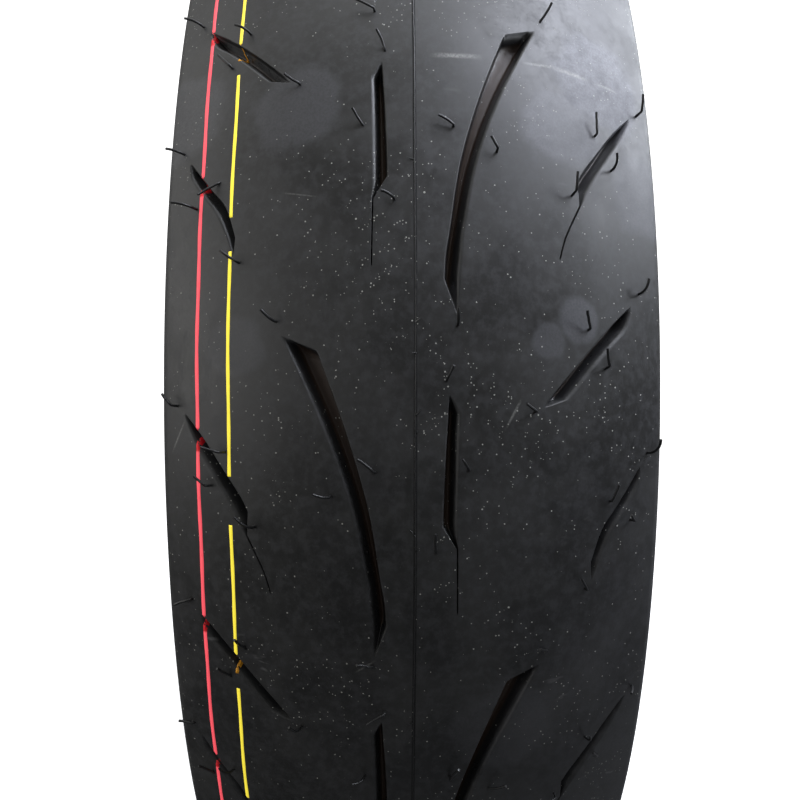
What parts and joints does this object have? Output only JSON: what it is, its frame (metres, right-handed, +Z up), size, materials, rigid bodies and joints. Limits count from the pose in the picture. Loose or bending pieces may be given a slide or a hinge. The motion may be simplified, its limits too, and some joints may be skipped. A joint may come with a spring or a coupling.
{
  "type": "motorcycle tyre",
  "caption": "Unmounted rear motorcycle tyre with a rounded grooved tread, moulding hairs, painted mark lines, plies, belt and wire beads",
  "frame": {"origin": "wheel centre, on the axle and in the tyre's middle plane", "axes": "+Y along the axle, away from the side with the painted lines; +X forwards; +Z up"},
  "size_m": [0.6414, 0.169, 0.6418],
  "materials": {
    "tread_rubber": "matte moulded tread rubber with fine grain",
    "sidewall_rubber": "smooth satin black rubber",
    "rim_strip_rubber": "smooth hard black rubber",
    "hair_rubber": "soft black rubber thread",
    "liner_rubber": "satin airtight rubber",
    "base_rubber": "black rubber, hidden",
    "filler_rubber": "hard black rubber, hidden",
    "ply_cord": "rubbered textile cord, hidden",
    "belt_steel_cord": "steel cord in rubber, hidden",
    "bead_steel": "bronzed steel wire, hidden",
    "red_paint": "thin matte red paint",
    "yellow_paint": "thin matte yellow paint"
  },
  "bodies": {
    "root": {"bead_filler_left": "filler_rubber", "bead_filler_right": "filler_rubber", "bead_wires_left": "bead_steel", "bead_wires_right": "bead_steel", "bead_wrap_left": "ply_cord", "bead_wrap_right": "ply_cord", "belt_edge_strip_left": "base_rubber", "belt_edge_strip_right": "base_rubber", "carcass_ply_inner": "ply_cord", "carcass_ply_outer": "ply_cord", "inner_liner": "liner_rubber", "red_mark_line": "red_paint", "rim_strip_left": "rim_strip_rubber", "rim_strip_right": "rim_strip_rubber", "sidewall_left": "sidewall_rubber", "sidewall_right": "sidewall_rubber", "tread_base": "base_rubber", "tread_centre": "tread_rubber", "tread_shoulder_left": "tread_rubber", "tread_shoulder_right": "tread_rubber", "vent_hairs_left": "hair_rubber", "vent_hairs_right": "hair_rubber", "yellow_mark_line": "yellow_paint", "zero_degree_belt": "belt_steel_cord"}
  },
  "joints": []
}
